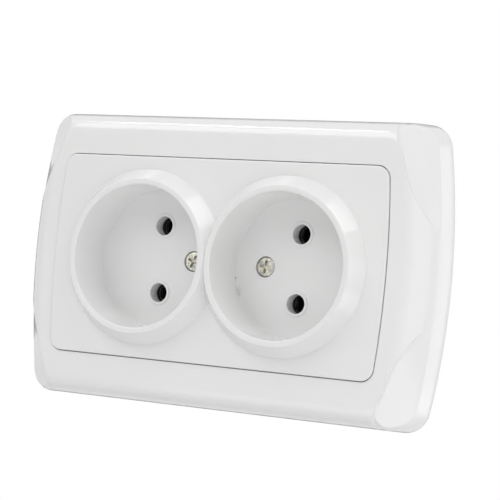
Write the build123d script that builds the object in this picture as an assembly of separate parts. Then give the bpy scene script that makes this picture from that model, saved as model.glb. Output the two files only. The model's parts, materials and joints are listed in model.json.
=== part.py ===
from build123d import *
import os
from math import cos, radians, sin, sqrt, tan

# A flush double wall socket for round two-pin plugs, without earth contacts.
# Frame: X to the right, Z up, Y into the wall. The wall surface is Y = 0 and the origin
# is the middle of the round wall box. The front of the frame is at Y = -front_depth.

# Cover frame
frame_width = 130.6
frame_height = 81.4
front_depth = 12.0
side_bow_radius = 210.0
frame_corner_radius = 7.0
frame_wall = 2.2
shoulder_sections = 6
seat_depth = 2.05
seat_width = 3.0
seat_thickness = 2.0

# Shoulder of the frame, how deep it turns into the wall, the wall's lean and its round rear edge
side_shoulder_width = 9.9
side_turn_depth = 7.4
side_lean = 27.0
top_shoulder_width = 6.5
top_turn_depth = 6.4
top_lean = 3.5
rear_round = 3.2
rear_sections = 4

# Sunk corner facets of the frame, each bounded by an arc
facet_arc_radius = 116.1
facet_centre_out = 97.3
facet_centre_up = 28.5
facet_step_draft = 8.0
facet_sink = 1.0
facet_tilt_middle = 63.8
facet_tilt_corner = 31.0
facet_overhang = 0.1
facet_sections = 5

# Insert with its two cups
insert_width = 103.2
insert_height = 56.2
insert_bow_radius = 270.0
insert_corner_radius = 3.6
insert_thickness = 2.6
insert_proud = 0.6
insert_edge_round = 0.35
frame_gap = 0.22
cup_spacing = 43.6
cup_floor_depth = 9.4
cup_floor_thickness = 1.5
cup_floor_radius = 19.6
cup_floor_round = 0.3
cup_mouth_radius = 19.85
cup_wall = 1.9
rim_height = 5.2
rim_round = 0.35
rim_crest_radius = 21.5
rim_base_radius = 24.45

# Pin holes, each with a low ring round it on the cup floor and a collar behind
pin_pitch = 19.0
pin_hole_radius = 2.7
pin_ring_width = 0.8
pin_ring_height = 0.15
collar_wall = 1.8
collar_end = 0.9

# Insert screws and their nuts
insert_screw_spacing = 22.9
insert_screw_radius = 1.5
insert_screw_length = 10.0
screw_head_radius = 2.75
screw_head_height = 2.1
screw_seat_clearance = 0.15
screw_boss_wall = 1.2
screw_sunk = 0.2
left_screw_turn = 24.0
right_screw_turn = 7.0
nut_width = 5.5
nut_thickness = 1.8

# Mounting strap
strap_size = 71.0
strap_corner_radius = 8.0
strap_thickness = 1.0
strap_window_width = 55.0
strap_window_height = 36.0
strap_window_corner = 6.0
box_screw_spacing = 60.0
box_slot_width = 4.2
box_slot_length = 7.0

# Contact block in the wall box, and its cover
block_diameter = 58.0
block_height = 35.0
block_depth = 21.0
block_wall = 1.2
cover_front = 1.2
cover_thickness = 1.4
fit_clearance = 0.1
part_gap = 0.3

# Contact strips
strip_thickness = 1.2
strip_low = 4.8
strip_high = 15.4
spring_thickness = 0.7
spring_width = 4.4
spring_length = 12.0
spring_root = 3.2
spring_grip = 2.2
spring_lip = 3.0
spring_grip_share = 0.65
well_depth = 17.0

# Terminals
terminal_far_x = 12.0
terminal_near_x = 2.0
terminal_z = 11.5
terminal_screw_radius = 1.75
terminal_screw_length = 9.3
terminal_head_height = 2.0
clamp_width = 6.4
clamp_thickness = 1.8
clamp_open_gap = 2.6
running_clearance = 0.05
cell_depth = 12.5
wire_window_depth = 4.6

# Claws, their screws and the rivets
station_x = 9.5
station_gap = 1.0
claw_width = 7.0
claw_thickness = 1.2
claw_pivot_y = 7.0
claw_pivot_z = 18.0
claw_bead_radius = 1.0
claw_leg_offset = 3.7
claw_leg_length = 10.0
claw_slot_length = 5.6
claw_slot_width = 4.0
claw_tooth = 1.6
claw_screw_radius = 1.5
claw_screw_length = 12.0
rivet_radius = 2.0
rivet_head_radius = 3.0
rivet_head_height = 1.0
ear_radius = 4.3
ear_thickness = 3.5

# Head and cross recess of every screw, sized from the head
head_round_share = 0.22
recess_slot_share = 0.3
recess_length_share = 1.3
recess_depth_share = 0.6
tick_width = 0.25
tick_depth = 0.15

# Levels and places that follow from the sizes above
front_y = -front_depth
plate_y = front_y - insert_proud
rim_y = front_y - rim_height
cup_floor_y = front_y + cup_floor_depth
cup_back_y = cup_floor_y + cup_floor_thickness
cover_back = cover_front + cover_thickness
strip_front = cover_back + fit_clearance
strip_back = strip_front + strip_thickness
clamp_front = strip_back + clamp_open_gap
half_turn = Rot(0, 180, 0)
cup_x = cup_spacing / 2
pin_z = pin_pitch / 2
screw_x = insert_screw_spacing / 2
station_z = cup_floor_radius + cup_wall + station_gap
claw_outer_z = station_z + claw_leg_offset
terminals = {"a": -terminal_far_x, "b": -terminal_near_x}


def front_plane(y):
    """Sketch plane at Y = y seen from the front: local x is X and local y is Z."""
    return Plane(origin=(0, y, 0), x_dir=(1, 0, 0), z_dir=(0, -1, 0))


def slab(sketch, y_front, y_back):
    """A front-view sketch given thickness from y_front back to y_back."""
    return extrude(front_plane(y_back) * sketch, y_back - y_front)


def rod(x, z, radius, y_front, y_back):
    """A round bar along Y."""
    return slab(Pos(x, z) * Circle(radius), y_front, y_back)


def bar(x_low, x_high, z_low, z_high, y_front, y_back):
    """A rectangular block from its limits."""
    middle = Pos((x_low + x_high) / 2, (z_low + z_high) / 2)
    return slab(middle * Rectangle(x_high - x_low, z_high - z_low), y_front, y_back)


def barrel(half_width, half_height, bow_radius, corner):
    """Outline with straight top and bottom, bowed sides and rounded corners."""
    bow = bow_radius - sqrt(bow_radius**2 - half_height**2)
    x = half_width - bow
    outline = Curve() + [
        ThreePointArc((x, -half_height), (half_width, 0), (x, half_height)),
        Line((x, half_height), (-x, half_height)),
        ThreePointArc((-x, half_height), (-half_width, 0), (-x, -half_height)),
        Line((-x, -half_height), (x, -half_height)),
    ]
    face = make_face(outline)
    return fillet(face.vertices(), corner)


def wall_reach(depth, outer, lean):
    """Half-size of the wall at a depth: it leans out, then rounds off upright at the rear."""
    left = front_depth - depth
    round_depth = rear_round * sin(radians(lean))
    if left < round_depth:
        return outer - rear_round + sqrt(rear_round**2 - left**2)
    rounded = rear_round * (1 - cos(radians(lean)))
    return outer - rounded - (left - round_depth) * tan(radians(lean))


def shoulder_reach(depth, outer, width, turn_depth, lean):
    """Half-size at a depth below the front: a rounded shoulder, then the wall."""
    if depth > turn_depth:
        return wall_reach(depth, outer, lean)
    turn = wall_reach(turn_depth, outer, lean)
    crown = turn - turn_depth * tan(radians(lean))
    t = sqrt(depth / turn_depth)
    return (1 - t)**2 * (outer - width) + 2 * t * (1 - t) * crown + t**2 * turn


def frame_half_width(depth):
    """Half-width of the frame's outside at a depth below the front."""
    return shoulder_reach(depth, frame_width / 2, side_shoulder_width, side_turn_depth, side_lean)


def frame_half_height(depth):
    """Half-height of the frame's outside at a depth below the front."""
    return shoulder_reach(depth, frame_height / 2, top_shoulder_width, top_turn_depth, top_lean)


def bow_at(half_width):
    """Side bow that stays parallel to the outer edge of the frame."""
    return side_bow_radius - (frame_width / 2 - half_width)


def frame_outline(depth, wall):
    """Outline of the frame's outside at a depth, or of its hollow, a wall further in and back."""
    half_width = frame_half_width(depth) - wall
    half_height = frame_half_height(depth) - wall
    sketch = barrel(half_width, half_height, bow_at(half_width), frame_corner_radius - wall)
    return front_plane(front_y + depth + wall) * sketch


def shoulder_depths(turn_depth):
    """Depths at which a shoulder is sampled, closer together near the front."""
    return [turn_depth * (i / (shoulder_sections - 1))**2 for i in range(shoulder_sections)]


def rear_depths():
    """Depths at which the round rear edge is sampled, closer together near the wall."""
    turns = [radians(side_lean) * (1 - i / (rear_sections - 1)) for i in range(rear_sections)]
    return [front_depth - rear_round * sin(turn) for turn in turns]


def frame_body(wall=0.0):
    """Shoulder, walls and rear edge of the frame, or its hollow when a wall is given."""
    rear = rear_depths()
    shoulder = loft([frame_outline(depth, wall) for depth in shoulder_depths(side_turn_depth)])
    walls = loft([frame_outline(depth, wall) for depth in (side_turn_depth, rear[0])], ruled=True)
    edge = loft([frame_outline(depth, wall) for depth in rear])
    return shoulder + walls + edge


def facet_floor():
    """Body under the upper right facet: at each height a straight slope up from the turn."""
    half_width = frame_half_width(side_turn_depth) + facet_overhang
    bow_radius = bow_at(half_width)
    rise = side_turn_depth + front_depth
    flare = frame_width / 2 - frame_half_width(side_turn_depth)
    sections = []
    for i in range(facet_sections):
        share = i / (facet_sections - 1)
        z = share * (frame_height / 2 + facet_sink)
        tilt = facet_tilt_middle + share * (facet_tilt_corner - facet_tilt_middle)
        x = half_width - bow_radius + sqrt(bow_radius**2 - z**2)
        points = [
            (0, front_y - front_depth),
            (x - rise / tan(radians(tilt)), front_y - front_depth),
            (x, front_y + side_turn_depth),
            (x + flare, front_y + rear_depths()[0]),
            (x + flare, 0),
            (0, 0),
        ]
        level = Plane(origin=(0, 0, z), x_dir=(1, 0, 0), z_dir=(0, 0, 1))
        sections.append(level * make_face(Polyline(*points, close=True)))
    return loft(sections)


def facet_top_bar():
    """Body under the frame's top shoulder where the upper facets are sunk into it."""
    shoulder = [
        (front_y + facet_sink + depth, frame_half_height(depth) + facet_overhang)
        for depth in shoulder_depths(top_turn_depth)
    ]
    top = frame_height / 2 + facet_overhang
    outline = Curve() + [
        Spline(*shoulder),
        Polyline(shoulder[-1], (0, top), (0, 0), (shoulder[0][0], 0), shoulder[0]),
    ]
    side_view = Plane(origin=(0, 0, 0), x_dir=(0, 1, 0), z_dir=(1, 0, 0))
    return extrude(side_view * make_face(outline), frame_width)


def facet_cutter():
    """What is taken off the frame at its upper right corner, inside the arc."""
    x = frame_width / 2 + facet_centre_out
    z = frame_height / 2 + facet_centre_up
    spread = 2 * front_depth * tan(radians(facet_step_draft))
    cone = Cone(facet_arc_radius - spread / 2, facet_arc_radius + spread / 2, 2 * front_depth)
    footprint = Pos(x, front_y, z) * Rot(90, 0, 0) * cone
    return footprint - (facet_floor() & facet_top_bar())


def cover_frame():
    """Hollow outer frame with a seat for the insert round its opening."""
    insert_half = (insert_width / 2, insert_height / 2)
    pocket = barrel(
        insert_half[0] + frame_gap,
        insert_half[1] + frame_gap,
        insert_bow_radius + frame_gap,
        insert_corner_radius + frame_gap,
    )
    opening = barrel(
        insert_half[0] - seat_width,
        insert_half[1] - seat_width,
        insert_bow_radius - seat_width,
        insert_corner_radius,
    )
    rim = barrel(
        insert_half[0] + frame_gap + frame_wall,
        insert_half[1] + frame_gap + frame_wall,
        insert_bow_radius + frame_gap + frame_wall,
        insert_corner_radius + frame_gap + frame_wall,
    )
    body = frame_body()
    upper_right = facet_cutter()
    upper_left = mirror(upper_right, Plane.YZ)
    for cutter in (upper_right, upper_left):
        body -= cutter
        body -= mirror(cutter, Plane.XY)
    seat_back = front_y + seat_depth + seat_thickness
    body -= frame_body(frame_wall) - slab(rim, front_y, seat_back)
    body -= slab(pocket, front_y - seat_depth, front_y + seat_depth)
    body -= slab(opening, front_y, 0)
    body -= slab(strap_outline(part_gap), -strap_thickness - part_gap, 0)
    return body


def turned(points, rounds):
    """A solid turned about Y from the corners of its half section, some of them rounded."""
    section = make_face(Polyline(*points, close=True))
    for corner, radius in rounds.items():
        section = fillet(section.vertices().sort_by_distance(corner)[0], radius)
    return revolve(section, Axis.Y)


def cup_shell():
    """One cup with its flat-topped rim, before it is hollowed."""
    crest = (rim_crest_radius, rim_y)
    points = [
        (0, rim_y),
        crest,
        (rim_base_radius, plate_y),
        (cup_floor_radius + cup_wall, cup_back_y),
        (0, cup_back_y),
    ]
    return turned(points, {crest: rim_round})


def cup_hollow():
    """Space inside one cup, from its floor to in front of its rim."""
    mouth = (cup_mouth_radius, rim_y)
    floor_edge = (cup_floor_radius, cup_floor_y)
    points = [
        (0, cup_floor_y),
        floor_edge,
        mouth,
        (rim_base_radius, rim_y),
        (rim_base_radius, rim_y - rim_height),
        (0, rim_y - rim_height),
    ]
    return turned(points, {floor_edge: cup_floor_round, mouth: rim_round})


def socket_insert():
    """Centre plate with two cups, pin collars and screw bosses, moulded in one piece."""
    outline = barrel(
        insert_width / 2, insert_height / 2, insert_bow_radius, insert_corner_radius
    )
    plate = slab(outline, plate_y, plate_y + insert_thickness)
    plate = fillet(plate.faces().sort_by(Axis.Y)[0].edges(), insert_edge_round)
    screw_seat = screw_head_radius + screw_seat_clearance
    seat_y = cup_floor_y + screw_sunk + screw_head_height
    body = plate
    for side in (-1, 1):
        body += Pos(side * cup_x, 0, 0) * cup_shell()
    for side in (-1, 1):
        body -= Pos(side * cup_x, 0, 0) * cup_hollow()
    for side in (-1, 1):
        boss_radius = screw_seat + screw_boss_wall
        body += rod(side * screw_x, 0, boss_radius, cup_floor_y, collar_end)
        body -= rod(side * screw_x, 0, screw_seat, cup_floor_y, seat_y)
        body -= rod(side * screw_x, 0, insert_screw_radius + fit_clearance, seat_y, collar_end)
        for level in (-1, 1):
            x = side * cup_x
            z = level * pin_z
            ring_y = cup_floor_y - pin_ring_height
            body += rod(x, z, pin_hole_radius + collar_wall, cup_floor_y, collar_end)
            body += rod(x, z, pin_hole_radius + pin_ring_width, ring_y, cup_floor_y)
            body -= rod(x, z, pin_hole_radius, ring_y, collar_end)
    return body


def cross_recess(head_radius, head_height):
    """Cross-shaped driver recess and its four tick marks, opening towards -Y at Y = 0."""
    slot = head_radius * recess_slot_share
    length = head_radius * recess_length_share
    depth = head_height * recess_depth_share
    cross = Rectangle(length, slot) + Rectangle(slot, length)
    cutter = slab(cross, -head_height, depth)
    cutter += Rot(90, 0, 0) * Cone(slot / 2, slot, 2 * depth)
    for turn in (45, 135):
        tick = Rot(0, 0, turn) * Rectangle(length, tick_width)
        cutter += slab(tick, -head_height, tick_depth)
    return cutter


def pan_screw(head_radius, head_height, shank_radius, length):
    """Pan-head screw along Y: head seat at Y = 0, head towards -Y, shank towards +Y."""
    tip = shank_radius / 2
    head_edge = (head_radius, -head_height)
    points = [
        (0, -head_height),
        head_edge,
        (head_radius, 0),
        (shank_radius, 0),
        (shank_radius, length - tip),
        (shank_radius - tip, length),
        (0, length),
    ]
    screw = turned(points, {head_edge: head_round_share * head_height})
    return screw - Pos(0, -head_height, 0) * cross_recess(head_radius, head_height)


def insert_screws():
    """The two screws that hold the insert, one in each cup floor, as they were last turned."""
    seat_y = cup_floor_y + screw_sunk + screw_head_height
    screw = pan_screw(screw_head_radius, screw_head_height, insert_screw_radius, insert_screw_length)
    left = Pos(-screw_x, seat_y, 0) * Rot(0, left_screw_turn, 0) * screw
    right = Pos(screw_x, seat_y, 0) * Rot(0, right_screw_turn, 0) * screw
    return [left, right]


def nut_front():
    """Front face of the nuts, just behind the contact cover."""
    return cover_back + fit_clearance


def insert_nuts():
    """Two square nuts in pockets of the contact block."""
    nuts = []
    for side in (-1, 1):
        square = Rectangle(nut_width, nut_width) - Circle(insert_screw_radius + running_clearance)
        nuts.append(slab(Pos(side * screw_x, 0) * square, nut_front(), nut_front() + nut_thickness))
    return nuts


def strap_outline(grow=0.0):
    """Outer outline of the mounting strap, as much larger as the growth says."""
    size = strap_size + 2 * grow
    return RectangleRounded(size, size, strap_corner_radius + grow)


def mounting_strap():
    """Punched steel plate on the wall with a window for the contact block."""
    plate = strap_outline()
    plate -= RectangleRounded(strap_window_width, strap_window_height, strap_window_corner)
    for level in (-1, 1):
        slot = SlotOverall(box_slot_length, box_slot_width, rotation=90)
        plate -= Pos(0, level * box_screw_spacing / 2) * slot
        claw_hole = Circle(claw_screw_radius + running_clearance)
        plate -= Pos(level * station_x, level * station_z) * claw_hole
        rivet_hole = Circle(rivet_radius + running_clearance)
        plate -= Pos(-level * station_x, level * station_z) * rivet_hole
    return slab(plate, -strap_thickness, 0)


def block_outline(inset=0.0):
    """Round outline with flat top and bottom, as far in as the inset says."""
    disc = Circle(block_diameter / 2 - inset)
    return disc & Rectangle(block_diameter, block_height - 2 * inset)


def strip_outline(inset, grow=0.0):
    """Outline of the upper contact strip: a band across the block's circle."""
    band = Rectangle(block_diameter, strip_high - strip_low + 2 * grow)
    return Circle(block_diameter / 2 - inset) & Pos(0, (strip_low + strip_high) / 2) * band


def upper_cavities():
    """Spaces in the block for the upper contact strip and its terminals."""
    high = strip_high + part_gap
    space = slab(strip_outline(block_wall, part_gap), cover_back, strip_back)
    well = spring_width / 2 + part_gap
    rise = spring_root + spring_thickness + part_gap
    for side in (-1, 1):
        x = side * cup_x
        space += bar(x - well, x + well, pin_z - rise, pin_z + rise, strip_back, strip_back + well_depth)
    cell = clamp_width / 2 + part_gap
    for x in terminals.values():
        space += bar(x - cell, x + cell, terminal_z - cell, high, strip_back, cell_depth)
        window = bar(
            x - cell, x + cell, terminal_z, block_height, strip_back, strip_back + wire_window_depth
        )
        space += window
    return space


def claw_groove():
    """Half-round groove across the block's flat for the bead of the upper claw."""
    groove = Cylinder(claw_bead_radius + running_clearance, claw_width + 2 * part_gap)
    return Pos(station_x, claw_pivot_y, claw_pivot_z) * Rot(0, 90, 0) * groove


def contact_block():
    """Moulded body in the wall box, with pockets for the contacts, nuts and terminals."""
    body = slab(block_outline(), cover_front, block_depth)
    ear_foot = block_height / 2 - ear_radius
    ear = Circle(ear_radius) + Pos(0, (ear_foot - station_z) / 2) * Rectangle(
        2 * ear_radius, station_z - ear_foot
    )
    upper_ear = slab(Pos(-station_x, station_z) * ear, 0, ear_thickness)
    upper_ear -= rod(-station_x, station_z, rivet_radius + running_clearance, 0, ear_thickness)
    nut_half = nut_width / 2 + fit_clearance
    for turn in (Rot(0, 0, 0), half_turn):
        body += turn * upper_ear
        body -= turn * upper_cavities()
        body -= turn * claw_groove()
        body -= turn * bar(
            screw_x - nut_half,
            screw_x + nut_half,
            -nut_half,
            nut_half,
            cover_back,
            nut_front() + nut_thickness + fit_clearance,
        )
        body -= turn * rod(
            screw_x,
            0,
            insert_screw_radius + part_gap,
            cover_back,
            cup_floor_y + screw_sunk + screw_head_height + insert_screw_length + part_gap,
        )
    return body - slab(block_outline(block_wall), 0, cover_back)


def contact_cover():
    """Insulating plate let into the block's front, over the contacts."""
    plate = block_outline(block_wall + fit_clearance)
    for side in (-1, 1):
        plate -= Pos(side * screw_x, 0) * Circle(insert_screw_radius + part_gap)
        for level in (-1, 1):
            plate -= Pos(side * cup_x, level * pin_z) * Circle(pin_hole_radius)
    head = screw_head_radius + part_gap
    for x in terminals.values():
        for turn in (1, -1):
            plate -= Pos(turn * x, turn * terminal_z) * Circle(head)
    return slab(plate, cover_front, cover_back)


def contact_spring():
    """Upper leaf of a contact pair in side view, given its width along X."""
    grip_y = strip_back + spring_grip_share * spring_length
    end_y = strip_back + spring_length
    t = spring_thickness
    points = [
        (strip_back, spring_root),
        (grip_y, spring_grip),
        (end_y, spring_lip),
        (end_y, spring_lip + t),
        (grip_y, spring_grip + t),
        (strip_back, spring_root + t),
    ]
    leaf = make_face(Polyline(*points, close=True))
    side_view = Plane(origin=(-spring_width / 2, 0, 0), x_dir=(0, 1, 0), z_dir=(1, 0, 0))
    return extrude(side_view * leaf, spring_width)


def line_contact_strip():
    """Brass strip with pin holes, terminal holes and two sprung contact pairs."""
    plate = strip_outline(block_wall + 2 * fit_clearance)
    for side in (-1, 1):
        plate -= Pos(side * cup_x, pin_z) * Circle(pin_hole_radius)
    for x in terminals.values():
        plate -= Pos(x, terminal_z) * Circle(terminal_screw_radius + running_clearance)
    strip = slab(plate, strip_front, strip_back)
    leaf = contact_spring()
    for side in (-1, 1):
        place = Pos(side * cup_x, 0, pin_z)
        strip += place * leaf
        strip += place * Rot(0, 180, 0) * leaf
    return strip


def terminal_screw(x):
    """Captive screw of one upper terminal; its head bears on the contact strip."""
    screw = pan_screw(
        screw_head_radius, terminal_head_height, terminal_screw_radius, terminal_screw_length
    )
    return Pos(x, strip_front, terminal_z) * screw


def clamp_plate(x):
    """Square plate on one terminal screw, drawn forward to grip the wire."""
    square = Rectangle(clamp_width, clamp_width)
    square -= Circle(terminal_screw_radius + running_clearance)
    return slab(Pos(x, terminal_z) * square, clamp_front, clamp_front + clamp_thickness)


def claw_upper():
    """Spreader claw: a bead to pivot on, a slotted tab for the screw and a toothed leg."""
    half = claw_thickness / 2
    low_x = station_x - claw_width / 2
    high_x = station_x + claw_width / 2
    tab_front = claw_pivot_y - half
    tab_back = claw_pivot_y + half
    leg_back = claw_pivot_y + claw_leg_length
    bead = Cylinder(claw_bead_radius, claw_width)
    body = Pos(station_x, claw_pivot_y, claw_pivot_z) * Rot(0, 90, 0) * bead
    body += bar(low_x, high_x, claw_pivot_z, claw_outer_z, tab_front, tab_back)
    body += bar(low_x, high_x, claw_outer_z - claw_thickness, claw_outer_z, tab_front, leg_back)
    slot = SlotOverall(claw_slot_length, claw_slot_width, rotation=90)
    body -= slab(Pos(station_x, station_z) * slot, tab_front - claw_thickness, tab_back)
    notch = RegularPolygon(claw_tooth, 3, rotation=90)
    for side in (-1, 1):
        edge = Plane(
            origin=(station_x + side * claw_width / 4, leg_back, claw_outer_z),
            x_dir=(1, 0, 0),
            z_dir=(0, 0, -1),
        )
        body -= extrude(edge * notch, claw_thickness)
    return body


def claw_screw_upper():
    """Screw that draws the upper claw forward; its head bears on the strap."""
    screw = pan_screw(screw_head_radius, screw_head_height, claw_screw_radius, claw_screw_length)
    return Pos(station_x, -strap_thickness, station_z) * screw


def strap_rivets():
    """Two rivets through the strap and the ears of the contact block."""
    z = station_z
    rivet = rod(-station_x, z, rivet_radius, -strap_thickness, ear_thickness)
    head_y = -strap_thickness - rivet_head_height
    rivet += rod(-station_x, z, rivet_head_radius, head_y, -strap_thickness)
    rivet += rod(-station_x, z, rivet_head_radius, ear_thickness, ear_thickness + rivet_head_height)
    return [rivet, half_turn * rivet]


def save(name, shape):
    """One STEP file for each sub-part; a list becomes a group of separate solids."""
    if isinstance(shape, list):
        shape = Compound(children=shape)
    export_step(shape, os.path.join("parts", name + ".step"))


def main():
    os.makedirs("parts", exist_ok=True)
    save("cover_frame", cover_frame())
    save("socket_insert", socket_insert())
    save("insert_screws", insert_screws())
    save("insert_nuts", insert_nuts())
    save("mounting_strap", mounting_strap())
    save("contact_block", contact_block())
    save("contact_cover", contact_cover())
    save("strap_rivets", strap_rivets())
    for pole, turn in (("line", Rot(0, 0, 0)), ("neutral", half_turn)):
        save(pole + "_contact_strip", turn * line_contact_strip())
        for place, x in terminals.items():
            save("terminal_screw_" + pole + "_" + place, turn * terminal_screw(x))
            save("clamp_plate_" + pole + "_" + place, turn * clamp_plate(x))
    for level, turn in (("upper", Rot(0, 0, 0)), ("lower", half_turn)):
        save("claw_" + level, turn * claw_upper())
        save("claw_screw_" + level, turn * claw_screw_upper())


main()
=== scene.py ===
import json
from math import cos, pi, radians, sin

import bmesh
import bpy
from mathutils import Matrix, Vector

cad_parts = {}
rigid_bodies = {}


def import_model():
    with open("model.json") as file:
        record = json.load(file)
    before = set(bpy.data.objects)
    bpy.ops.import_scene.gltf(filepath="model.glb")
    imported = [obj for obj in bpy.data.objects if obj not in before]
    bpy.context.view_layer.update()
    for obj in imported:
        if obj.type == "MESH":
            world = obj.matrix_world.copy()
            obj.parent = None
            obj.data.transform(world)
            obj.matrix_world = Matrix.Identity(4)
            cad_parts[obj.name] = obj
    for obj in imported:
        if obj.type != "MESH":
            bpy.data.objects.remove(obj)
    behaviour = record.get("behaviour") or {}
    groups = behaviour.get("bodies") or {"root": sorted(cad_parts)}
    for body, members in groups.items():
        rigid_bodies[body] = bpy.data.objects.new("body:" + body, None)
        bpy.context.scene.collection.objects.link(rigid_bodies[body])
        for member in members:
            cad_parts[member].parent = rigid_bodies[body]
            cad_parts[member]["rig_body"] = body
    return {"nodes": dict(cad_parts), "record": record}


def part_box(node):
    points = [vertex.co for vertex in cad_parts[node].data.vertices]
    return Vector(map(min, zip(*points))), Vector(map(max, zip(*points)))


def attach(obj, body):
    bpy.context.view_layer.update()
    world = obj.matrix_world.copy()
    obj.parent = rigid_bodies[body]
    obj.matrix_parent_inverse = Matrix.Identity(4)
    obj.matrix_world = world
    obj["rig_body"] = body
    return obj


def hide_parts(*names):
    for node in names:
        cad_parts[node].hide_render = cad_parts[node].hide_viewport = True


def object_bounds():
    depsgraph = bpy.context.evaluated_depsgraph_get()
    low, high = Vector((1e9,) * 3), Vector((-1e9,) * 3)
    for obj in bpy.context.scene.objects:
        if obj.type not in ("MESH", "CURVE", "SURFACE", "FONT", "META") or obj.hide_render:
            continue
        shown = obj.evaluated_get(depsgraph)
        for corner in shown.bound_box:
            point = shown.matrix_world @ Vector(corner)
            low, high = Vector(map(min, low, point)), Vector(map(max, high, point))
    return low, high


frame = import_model()
cad_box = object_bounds()

# Lengths are metres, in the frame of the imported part: X right, Z up, Y into the wall.
MM = 0.001

# Camera, from the photo: to the right of the socket and a little below it, aimed near its front
LENS_MM = 121.8
SENSOR_MM = 36.0
VIEW_TURN = radians(28.297)
VIEW_RISE = radians(-2.217)
VIEW_ROLL = radians(5.130)
VIEW_DISTANCE = 461.40 * MM
VIEW_SIDE = -10.32 * MM
VIEW_UP = -3.217 * MM
FRAME_FRONT_Y = -12.0 * MM

# Stage
FLOOR_DROP = 260.0 * MM
FLOOR_SIZE = 6.0
FLOOR_FADE_START = 0.15
FLOOR_FADE_END = 0.30
FLOOR_GREY = 0.80

# Soft light from all round
FILL = 0.30

# Soft lamps: degrees to the right of straight ahead, degrees up, distance, width, height, watts
SOFT_LAMPS = {
    "front_softbox": (20.0, 35.0, 1.0, 0.50, 0.35, 1.0),
    "left_front_softbox": (-30.0, 35.0, 1.0, 0.60, 0.35, 1.8),
    "left_softbox": (-75.0, 35.0, 1.0, 0.35, 0.35, 0.5),
    "left_strip": (-44.0, 52.0, 1.0, 0.40, 0.12, 0.9),
    "right_softbox": (75.0, 58.0, 1.0, 0.80, 0.60, 3.2),
    "right_low_softbox": (68.0, 4.0, 1.0, 0.90, 0.40, 0.75),
    "right_strip": (105.0, 2.0, 1.0, 0.12, 0.70, 0.5),
    "low_front": (0.0, -36.0, 0.42, 0.50, 0.25, 0.32),
    "low_right": (75.0, -28.0, 0.50, 0.80, 0.20, 0.6),
}

# Dark card behind the socket that only its gloss sees, so that its edges stand out from the white
CARD_Y = 0.45
CARD_MIDDLE_X = -0.33
CARD_WIDTH = 0.72
CARD_HEIGHT = 1.2
CARD_GREY = 0.08

# Finishes: scales are per metre, a band is where one tone gives way to the other
EDGE_SAMPLES = 6

# White mouldings, with soft edges as their gloss shows them
FRAME_EDGE = 0.35 * MM
INSERT_EDGE = 0.3 * MM
FLOW_SCALE = 35.0
FLOW_BAND = (0.3, 0.7)
HAZE_SCALE = 120.0
PEEL_SCALE = 700.0
PEEL_HEIGHT = 0.004 * MM
GLOSS_ROUGHNESS = 0.09
GLOSS_HAZE = 0.05
GLOSS_IOR = 1.52

# Zinc plating
ZINC_SCALE = 1100.0
ZINC_BAND = (0.35, 0.65)
ZINC_ROUGHNESS = 0.24
ZINC_DULLING = 0.2
ZINC_EDGE = 0.08 * MM
TOOL_MARK_SCALE = 2500.0
TOOL_MARK_STRETCH = (1.0, 9.0, 1.0)
TOOL_MARK_HEIGHT = 0.004 * MM

# Galvanised sheet
STRAP_SPANGLE = 380.0
CLAW_SPANGLE = 620.0
SPANGLE_SHARE = 0.7
SHEET_ROUGHNESS = 0.28
SHEET_DULLING = 0.14
SHEET_EDGE = 0.1 * MM
ROLLING_SCALE = 300.0
ROLLING_STRETCH = (1.0, 1.0, 30.0)
ROLLING_HEIGHT = 0.003 * MM

# Matt mouldings
BLOCK_GRAIN = 1600.0
COVER_GRAIN = 2600.0
KNIT_SCALE = 60.0
KNIT_SHARE = 0.6
KNIT_BAND = (0.3, 0.7)
MATT_ROUGHNESS = 0.5
MATT_DULLING = 0.2
MATT_EDGE = 0.2 * MM
GRAIN_HEIGHT = 0.02 * MM

# Rolled strip
STREAK_SCALE = 260.0
STREAK_STRETCH = (1.0, 14.0, 14.0)
STREAK_HEIGHT = 0.003 * MM
STREAK_SHARE = 0.5
TARNISH_SCALE = 180.0
TARNISH_BAND = (0.35, 0.7)
STRIP_ROUGHNESS = 0.2
STRIP_DULLING = 0.18
STRIP_EDGE = 0.08 * MM

# Small dirt marks at the edge of the right cup's floor: place and reach in mm, and strength
DIRT_COLOUR = (0.28, 0.27, 0.26, 1.0)
CUP_MARKS = (
    ((2.6, -2.7, -3.6), 0.40, 1.0),
    ((2.7, -2.8, -4.3), 0.22, 1.0),
    ((3.7, -2.7, -7.2), 1.80, 0.18),
    ((4.1, -2.7, -8.2), 0.70, 0.25),
)

# Pieces that are smoothed, and how they are joined and shaded
SMOOTH_NODES = ("cover_frame", "socket_insert", "contact_block", "strap_rivets")
WELD_DISTANCE = 0.002 * MM
CREASE_ANGLE = radians(24)

# Screws by kind: how many share a node, the height of the head and the radius of the shank
SCREW_SIZES = {
    "insert": (2, 2.1 * MM, 1.5 * MM),
    "terminal": (1, 2.0 * MM, 1.75 * MM),
    "claw": (1, 2.1 * MM, 1.5 * MM),
}
SHANK_MATCH = 0.02 * MM

# Rolled threads: run-out is a share of the length, and the end a share of the shank's radius
THREAD_PITCH = 0.6 * MM
THREAD_DEPTH = 0.3 * MM
THREAD_START = 1.0 * MM
THREAD_RUN_OUT = 0.05
THREAD_END = 0.5
THREAD_FLANKS = 3
THREAD_RIDGE_TURN = pi
THREAD_STEPS_PER_TURN = 32
INTO_THE_WALL = (radians(-90), 0.0, 0.0)


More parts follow.
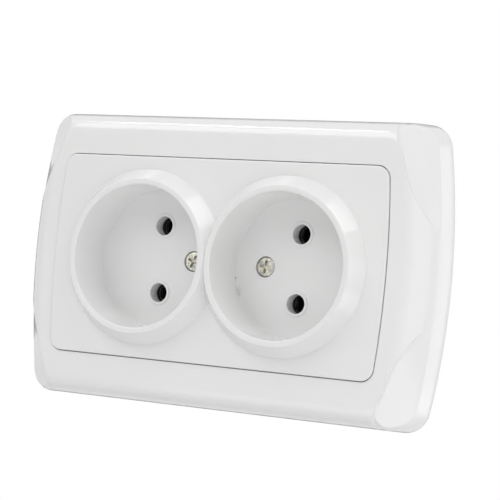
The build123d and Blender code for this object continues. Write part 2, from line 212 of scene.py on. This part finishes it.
class Value:
    """A socket of a finish; arithmetic on it adds Math nodes to the same finish."""

    def __init__(self, tree, socket=None):
        self.tree = tree
        self.socket = socket

    def node(self, kind, settings=None, sockets=None, output=0):
        """Adds a node: its settings first, then the values or links of its sockets."""
        made = self.tree.nodes.new(kind)
        for name, setting in (settings or {}).items():
            setattr(made, name, setting)
        for name, value in (sockets or {}).items():
            if isinstance(value, Value):
                self.tree.links.new(value.socket, made.inputs[name])
            else:
                made.inputs[name].default_value = value
        return Value(self.tree, made.outputs[output] if made.outputs else None)

    def maths(self, operation, first, second):
        return self.node("ShaderNodeMath", {"operation": operation}, {0: first, 1: second})

    def __add__(self, other):
        return self.maths("ADD", self, other)

    def __radd__(self, other):
        return self.maths("ADD", other, self)

    def __sub__(self, other):
        return self.maths("SUBTRACT", self, other)

    def __rsub__(self, other):
        return self.maths("SUBTRACT", other, self)

    def __mul__(self, other):
        return self.maths("MULTIPLY", self, other)

    def __rmul__(self, other):
        return self.maths("MULTIPLY", other, self)

    def __truediv__(self, other):
        return self.maths("DIVIDE", self, other)

    def __rtruediv__(self, other):
        return self.maths("DIVIDE", other, self)

    def between(self, low, high):
        """0 up to low, 1 from high on, and smooth between."""
        limits = {"Value": self, "From Min": low, "From Max": high}
        return self.node("ShaderNodeMapRange", {"interpolation_type": "SMOOTHSTEP"}, limits)

    def blend(self, low_colour, high_colour):
        """Colour that goes from one to the other as this value goes from 0 to 1."""
        colours = {"Factor": self, 6: low_colour, 7: high_colour}
        return self.node("ShaderNodeMix", {"data_type": "RGBA"}, colours, output=2)


def new_finish(name):
    """An empty material and a Value that adds nodes to it."""
    material = bpy.data.materials.new(name)
    material.use_nodes = True
    material.node_tree.nodes.clear()
    return material, Value(material.node_tree)


def close_finish(finish, settings):
    """Ends a finish in a Principled shader with the given socket values and links."""
    shader = finish.node("ShaderNodeBsdfPrincipled", None, settings)
    finish.node("ShaderNodeOutputMaterial", None, {"Surface": shader})


def object_point(finish):
    return finish.node("ShaderNodeTexCoord", output=3)


def stretched(finish, point, stretch):
    """The point with each axis scaled, so that a pattern runs along one of them."""
    scale = {"Vector": point, "Scale": stretch}
    return finish.node("ShaderNodeMapping", None, scale)


def grain(finish, point, scale, detail=2.0):
    """Even noise around 0.5."""
    sockets = {"Vector": point, "Scale": scale, "Detail": detail}
    return finish.node("ShaderNodeTexNoise", None, sockets)


def rounded_edges(finish, radius):
    """Surface normal that turns over sharp edges within a radius."""
    return finish.node("ShaderNodeBevel", {"samples": EDGE_SAMPLES}, {"Radius": radius})


def relief(finish, height, distance, normal):
    """Normal from a height, in metres of relief, on top of another normal."""
    sockets = {"Height": height, "Distance": distance, "Strength": 1.0, "Normal": normal}
    return finish.node("ShaderNodeBump", None, sockets)


def rgb(red, green, blue):
    return (red, green, blue, 1.0)


def grey(tone):
    return rgb(tone, tone, tone)


def dirt_mark(finish, point, place, reach, strength):
    """Its strength in the middle of a small mark, falling to 0 at its reach."""
    apart = {0: point, 1: [MM * length for length in place]}
    away = finish.node("ShaderNodeVectorMath", {"operation": "DISTANCE"}, apart, output=1)
    return strength * (1.0 - away.between(0.0, MM * reach))


def white_moulding(name, colour, shade, edge, marks=()):
    """Glossy white moulded plastic: faint flow marks, a fine orange peel and soft edges."""
    material, finish = new_finish(name)
    point = object_point(finish)
    flow = grain(finish, point, FLOW_SCALE, detail=3.0)
    peel = grain(finish, point, PEEL_SCALE, detail=1.0)
    haze = grain(finish, point, HAZE_SCALE, detail=4.0)
    normal = relief(finish, peel, PEEL_HEIGHT, rounded_edges(finish, edge))
    white = flow.between(*FLOW_BAND).blend(colour, shade)
    for mark in marks:
        white = dirt_mark(finish, point, *mark).blend(white, DIRT_COLOUR)
    close_finish(finish, {
        "Base Color": white,
        "Roughness": GLOSS_ROUGHNESS + GLOSS_HAZE * haze,
        "IOR": GLOSS_IOR,
        "Normal": normal,
    })
    return material


def zinc_plate(name, colour, tint):
    """Zinc-plated steel, passivated: uneven tint, fine tool marks and dulled patches."""
    material, finish = new_finish(name)
    point = object_point(finish)
    patch = grain(finish, point, ZINC_SCALE, detail=3.0)
    marks = grain(finish, stretched(finish, point, TOOL_MARK_STRETCH), TOOL_MARK_SCALE)
    normal = relief(finish, marks, TOOL_MARK_HEIGHT, rounded_edges(finish, ZINC_EDGE))
    close_finish(finish, {
        "Base Color": patch.between(*ZINC_BAND).blend(colour, tint),
        "Metallic": 1.0,
        "Roughness": ZINC_ROUGHNESS + ZINC_DULLING * patch,
        "Normal": normal,
    })
    return material


def galvanised_sheet(name, colour, shade, spangle):
    """Galvanised steel sheet: crystal spangle, each with its own gloss, and rolling lines."""
    material, finish = new_finish(name)
    point = object_point(finish)
    cells = {"Vector": point, "Scale": spangle}
    crystals = finish.node("ShaderNodeTexVoronoi", None, cells, output=1)
    crystal = finish.node("ShaderNodeSeparateColor", None, {"Color": crystals})
    lines = grain(finish, stretched(finish, point, ROLLING_STRETCH), ROLLING_SCALE)
    normal = relief(finish, lines, ROLLING_HEIGHT, rounded_edges(finish, SHEET_EDGE))
    tone = SPANGLE_SHARE * crystal + (1 - SPANGLE_SHARE) * lines
    close_finish(finish, {
        "Base Color": tone.blend(colour, shade),
        "Metallic": 1.0,
        "Roughness": SHEET_ROUGHNESS + SHEET_DULLING * crystal,
        "Normal": normal,
    })
    return material


def matt_moulding(name, colour, shade, grain_scale):
    """Matt moulded plastic with a spark-eroded grain and paler knit lines."""
    material, finish = new_finish(name)
    point = object_point(finish)
    cloud = grain(finish, point, KNIT_SCALE, detail=4.0)
    pits = grain(finish, point, grain_scale, detail=2.0)
    normal = relief(finish, pits, GRAIN_HEIGHT, rounded_edges(finish, MATT_EDGE))
    tone = KNIT_SHARE * cloud + (1 - KNIT_SHARE) * pits
    close_finish(finish, {
        "Base Color": tone.between(*KNIT_BAND).blend(colour, shade),
        "Roughness": MATT_ROUGHNESS + MATT_DULLING * pits,
        "Normal": normal,
    })
    return material


def rolled_strip(name, colour, tarnish):
    """Rolled strip metal: streaks along X and a light tarnish in patches."""
    material, finish = new_finish(name)
    point = object_point(finish)
    streaks = grain(finish, stretched(finish, point, STREAK_STRETCH), STREAK_SCALE, detail=3.0)
    patch = grain(finish, point, TARNISH_SCALE, detail=4.0)
    normal = relief(finish, streaks, STREAK_HEIGHT, rounded_edges(finish, STRIP_EDGE))
    tone = STREAK_SHARE * streaks + (1 - STREAK_SHARE) * patch
    close_finish(finish, {
        "Base Color": tone.between(*TARNISH_BAND).blend(colour, tarnish),
        "Metallic": 1.0,
        "Roughness": STRIP_ROUGHNESS + STRIP_DULLING * patch,
        "Normal": normal,
    })
    return material


def socket_finishes():
    """Every finish of the socket, by the record's material slot."""
    return {
        "frame_plastic": white_moulding(
            "frame_white", rgb(0.88, 0.88, 0.88), rgb(0.87, 0.87, 0.865), FRAME_EDGE
        ),
        "insert_plastic": white_moulding(
            "insert_white", rgb(0.87, 0.87, 0.87), rgb(0.86, 0.86, 0.855), INSERT_EDGE, CUP_MARKS
        ),
        "zinc_steel": zinc_plate(
            "screw_zinc", rgb(0.42, 0.42, 0.41), rgb(0.74, 0.72, 0.60)
        ),
        "strap_steel": galvanised_sheet(
            "strap_sheet", rgb(0.50, 0.51, 0.52), rgb(0.64, 0.65, 0.66), STRAP_SPANGLE
        ),
        "block_plastic": matt_moulding(
            "block_black", rgb(0.018, 0.018, 0.020), rgb(0.030, 0.030, 0.032), BLOCK_GRAIN
        ),
        "cover_plastic": matt_moulding(
            "cover_board", rgb(0.030, 0.030, 0.032), rgb(0.045, 0.044, 0.044), COVER_GRAIN
        ),
        "rivet_metal": rolled_strip(
            "rivet_brass", rgb(0.66, 0.46, 0.18), rgb(0.50, 0.34, 0.14)
        ),
        "contact_nickel": rolled_strip(
            "contact_nickel", rgb(0.60, 0.58, 0.55), rgb(0.46, 0.44, 0.41)
        ),
        "clamp_steel": zinc_plate(
            "clamp_zinc", rgb(0.58, 0.58, 0.56), rgb(0.66, 0.65, 0.60)
        ),
        "claw_steel": galvanised_sheet(
            "claw_sheet", rgb(0.46, 0.47, 0.48), rgb(0.60, 0.61, 0.62), CLAW_SPANGLE
        ),
    }


def put_in_scene(name, mesh):
    piece = bpy.data.objects.new(name, mesh)
    bpy.context.scene.collection.objects.link(piece)
    return piece


def plain_mesh(piece):
    """The piece's mesh with its modifiers worked in, as new plain data."""
    graph = bpy.context.evaluated_depsgraph_get()
    graph.update()
    return bpy.data.meshes.new_from_object(piece.evaluated_get(graph))


def welded(node):
    """A copy of a node's triangles, joined along their edges."""
    form = bmesh.new()
    form.from_mesh(frame["nodes"][node].data)
    bmesh.ops.remove_doubles(form, verts=form.verts, dist=WELD_DISTANCE)
    bmesh.ops.dissolve_degenerate(form, edges=form.edges, dist=WELD_DISTANCE)
    return form


def smooth_piece(name, form):
    """A piece from a joined form: smooth over curves, creased at edges, flat on flats."""
    for face in form.faces:
        face.smooth = True
    for edge in form.edges:
        edge.smooth = edge.is_manifold and edge.calc_face_angle() < CREASE_ANGLE
    mesh = bpy.data.meshes.new(name)
    form.to_mesh(mesh)
    form.free()
    piece = put_in_scene(name, mesh)
    weighted = piece.modifiers.new("flat_faces_flat", "WEIGHTED_NORMAL")
    weighted.keep_sharp = True
    finished = plain_mesh(piece)
    piece.modifiers.clear()
    piece.data = finished
    return piece


def stand_for(piece, node, slot, finishes):
    """The piece takes the node's place, body and finish."""
    piece.data.materials.clear()
    piece.data.materials.append(finishes[slot])
    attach(piece, frame["nodes"][node]["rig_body"])
    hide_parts(node)


def thread_tree():
    """Geometry nodes for rolled threads: a ridge wound round each of a row of shanks."""
    tree = bpy.data.node_groups.new("screw_thread", "GeometryNodeTree")
    tree.interface.new_socket("Threads", in_out="OUTPUT", socket_type="NodeSocketGeometry")
    for size in ("Root Radius", "Depth", "Pitch", "Length", "Spacing"):
        tree.interface.new_socket(size, in_out="INPUT", socket_type="NodeSocketFloat")
    tree.interface.new_socket("Start", in_out="INPUT", socket_type="NodeSocketVector")
    tree.interface.new_socket("Screws", in_out="INPUT", socket_type="NodeSocketInt")
    tree.interface.new_socket("Finish", in_out="INPUT", socket_type="NodeSocketMaterial")
    graph = Value(tree)
    given = graph.node("NodeGroupInput").socket.node
    size = {socket.name: Value(tree, socket) for socket in given.outputs}
    helix = graph.node("GeometryNodeCurveSpiral", None, {
        "Resolution": THREAD_STEPS_PER_TURN,
        "Rotations": size["Length"] / size["Pitch"],
        "Start Radius": size["Root Radius"],
        "End Radius": size["Root Radius"],
        "Height": size["Length"],
    })
    along = graph.node("GeometryNodeSplineParameter")
    ends = graph.maths("MINIMUM", along, 1.0 - along) / THREAD_RUN_OUT
    runs_out = {"Curve": helix, "Radius": graph.maths("MINIMUM", ends, 1.0)}
    helix = graph.node("GeometryNodeSetCurveRadius", None, runs_out)
    helix = graph.node("GeometryNodeSetCurveNormal", {"mode": "Z_UP"}, {"Curve": helix})
    flanks = {"Resolution": THREAD_FLANKS, "Radius": size["Depth"]}
    ridge = graph.node("GeometryNodeCurvePrimitiveCircle", {"mode": "RADIUS"}, flanks)
    outward = {"Geometry": ridge, "Rotation": (0.0, 0.0, THREAD_RIDGE_TURN)}
    ridge = graph.node("GeometryNodeTransform", None, outward)
    wound = {"Curve": helix, "Profile Curve": ridge, "Fill Caps": True}
    thread = graph.node("GeometryNodeCurveToMesh", None, wound)
    spacing = graph.node("ShaderNodeCombineXYZ", None, {"X": size["Spacing"]})
    row = {"Count": size["Screws"], "Start Location": size["Start"], "Offset": spacing}
    places = graph.node("GeometryNodeMeshLine", None, row)
    lying = {"Points": places, "Instance": thread, "Rotation": INTO_THE_WALL}
    threads = graph.node("GeometryNodeInstanceOnPoints", None, lying)
    threads = graph.node("GeometryNodeRealizeInstances", None, {"Geometry": threads})
    finished = {"Geometry": threads, "Material": size["Finish"]}
    threads = graph.node("GeometryNodeSetMaterial", None, finished)
    graph.node("NodeGroupOutput", None, {0: threads})
    return tree


def grown(name, tree, sizes):
    """Plain mesh that a tree of geometry nodes grows from the named sizes."""
    piece = put_in_scene(name, bpy.data.meshes.new(name))
    growth = piece.modifiers.new(name, "NODES")
    growth.node_group = tree
    for socket in tree.interface.items_tree:
        if socket.in_out == "INPUT":
            growth[socket.identifier] = sizes[socket.name]
    mesh = plain_mesh(piece)
    bpy.data.objects.remove(piece)
    return mesh


def threaded(node, tree, finish):
    """A node's screws with their shanks drawn in to the thread's root and the thread on them."""
    screws, head_height, shank_radius = SCREW_SIZES[node.split("_")[0]]
    low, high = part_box(node)
    head_radius = (high.z - low.z) / 2
    seat = low.y + head_height
    spacing = high.x - low.x - 2 * head_radius
    first = Vector((low.x + head_radius, 0.0, (low.z + high.z) / 2))
    axes = [first + Vector((i * spacing, 0.0, 0.0)) for i in range(screws)]
    root = shank_radius - THREAD_DEPTH
    form = welded(node)
    for vertex in form.verts:
        level = Vector((0.0, vertex.co.y, 0.0))
        out = min((vertex.co - level - axis for axis in axes), key=lambda arm: arm.length)
        if vertex.co.y > seat - WELD_DISTANCE and abs(out.length - shank_radius) < SHANK_MATCH:
            vertex.co -= out * (1 - root / shank_radius)
    start = Vector((first.x, seat + THREAD_START, first.z))
    sizes = {
        "Root Radius": root,
        "Depth": THREAD_DEPTH,
        "Pitch": THREAD_PITCH,
        "Length": high.y - THREAD_END * shank_radius - start.y,
        "Spacing": spacing,
        "Start": start,
        "Screws": screws,
        "Finish": finish,
    }
    form.from_mesh(grown("threads", tree, sizes))
    return form


def studio_lamp(name, turn, rise, distance, width, height, power):
    """A soft rectangular lamp that faces the socket."""
    lamp = bpy.data.lights.new(name, "AREA")
    lamp.shape = "RECTANGLE"
    lamp.size = width
    lamp.size_y = height
    lamp.energy = power
    holder = bpy.data.objects.new(name, lamp)
    side = Vector((sin(radians(turn)), -cos(radians(turn)), 0.0)) * cos(radians(rise))
    towards = side + Vector((0.0, 0.0, sin(radians(rise))))
    holder.location = distance * towards
    holder.rotation_euler = (-towards).to_track_quat("-Z", "Y").to_euler()
    holder.visible_camera = False
    bpy.context.scene.collection.objects.link(holder)


def seen_directly(finish):
    """1 for what the camera sees directly, in a mirror or through glass."""
    path = finish.node("ShaderNodeLightPath")
    rays = {output.name: Value(finish.tree, output) for output in path.socket.node.outputs}
    seen = finish.maths("MAXIMUM", rays["Is Camera Ray"], rays["Is Glossy Ray"])
    return finish.maths("MAXIMUM", seen, rays["Is Transmission Ray"])


def white_world():
    """White where it is seen, and a softer even light on the socket."""
    world = bpy.data.worlds.new("white_studio")
    bpy.context.scene.world = world
    world.use_nodes = True
    world.node_tree.nodes.clear()
    sky = Value(world.node_tree)
    light = sky.node("ShaderNodeBackground", None, {"Color": grey(1.0), "Strength": FILL})
    seen = sky.node("ShaderNodeBackground", None, {"Color": grey(1.0), "Strength": 1.0})
    both = sky.node("ShaderNodeMixShader", None, {0: seen_directly(sky), 1: light, 2: seen})
    sky.node("ShaderNodeOutputWorld", None, {"Surface": both})


def stage_board(name, corners, material):
    """One flat board between four corners, for the stage."""
    mesh = bpy.data.meshes.new(name)
    mesh.from_pydata(corners, [], [(0, 1, 2, 3)])
    mesh.materials.append(material)
    return put_in_scene(name, mesh)


def studio_floor():
    """Pale floor under the socket that fades to the white of the background."""
    material, finish = new_finish("pale_floor")
    point = object_point(finish)
    flattened = {0: point, 1: (1.0, 1.0, 0.0)}
    level = finish.node("ShaderNodeVectorMath", {"operation": "MULTIPLY"}, flattened)
    away = finish.node("ShaderNodeVectorMath", {"operation": "LENGTH"}, {0: level}, output=1)
    fade = away.between(FLOOR_FADE_START, FLOOR_FADE_END) * seen_directly(finish)
    near = finish.node("ShaderNodeBsdfDiffuse", None, {"Color": grey(FLOOR_GREY)})
    far = finish.node("ShaderNodeEmission", None, {"Color": grey(1.0), "Strength": 1.0})
    both = finish.node("ShaderNodeMixShader", None, {0: fade, 1: near, 2: far})
    finish.node("ShaderNodeOutputMaterial", None, {"Surface": both})
    half = FLOOR_SIZE / 2
    height = cad_box[0].z - FLOOR_DROP
    ends = ((-half, -half), (half, -half), (half, half), (-half, half))
    stage_board("floor", [(x, y, height) for x, y in ends], material)


def edge_card():
    """The dark card: seen in gloss alone, it casts no shadow and no light."""
    material, finish = new_finish("card_grey")
    shade = finish.node("ShaderNodeEmission", None, {"Color": grey(CARD_GREY)})
    finish.node("ShaderNodeOutputMaterial", None, {"Surface": shade})
    left = CARD_MIDDLE_X - CARD_WIDTH / 2
    right = CARD_MIDDLE_X + CARD_WIDTH / 2
    top = CARD_HEIGHT / 2
    ends = ((left, -top), (right, -top), (right, top), (left, top))
    card = stage_board("edge_card", [(x, CARD_Y, z) for x, z in ends], material)
    card.visible_camera = False
    card.visible_diffuse = False
    card.visible_transmission = False
    card.visible_shadow = False


def photo_camera():
    """The camera at the photo's place: turned round the socket, tilted and rolled."""
    forward = -Vector((
        sin(VIEW_TURN) * cos(VIEW_RISE),
        -cos(VIEW_TURN) * cos(VIEW_RISE),
        sin(VIEW_RISE),
    ))
    level = Vector((cos(VIEW_TURN), sin(VIEW_TURN), 0.0))
    upright = level.cross(forward)
    right = cos(VIEW_ROLL) * level + sin(VIEW_ROLL) * upright
    up = cos(VIEW_ROLL) * upright - sin(VIEW_ROLL) * level
    middle = Vector((0.0, FRAME_FRONT_Y, 0.0))
    place = middle - VIEW_SIDE * right - VIEW_UP * up - VIEW_DISTANCE * forward
    lens = bpy.data.cameras.new("photo_camera")
    lens.lens = LENS_MM
    lens.sensor_width = SENSOR_MM
    camera = bpy.data.objects.new("photo_camera", lens)
    turned = Matrix((right, up, -forward)).transposed().to_4x4()
    camera.matrix_world = Matrix.Translation(place) @ turned
    bpy.context.scene.collection.objects.link(camera)
    bpy.context.scene.camera = camera


bpy.context.scene.view_settings.view_transform = "Standard"
finishes = socket_finishes()
slots = {row["node"]: row["material_slot"] for row in frame["record"]["subparts"]}
screw_thread = thread_tree()
for node, slot in slots.items():
    if "screw" in node:
        form = threaded(node, screw_thread, finishes[slot])
        stand_for(smooth_piece(node + "_threaded", form), node, slot, finishes)
    elif node in SMOOTH_NODES:
        stand_for(smooth_piece(node + "_finished", welded(node)), node, slot, finishes)
    else:
        for place in frame["nodes"][node].material_slots:
            place.material = finishes[slot]

white_world()
studio_floor()
edge_card()
for lamp, sizes in SOFT_LAMPS.items():
    studio_lamp(lamp, *sizes)
photo_camera()
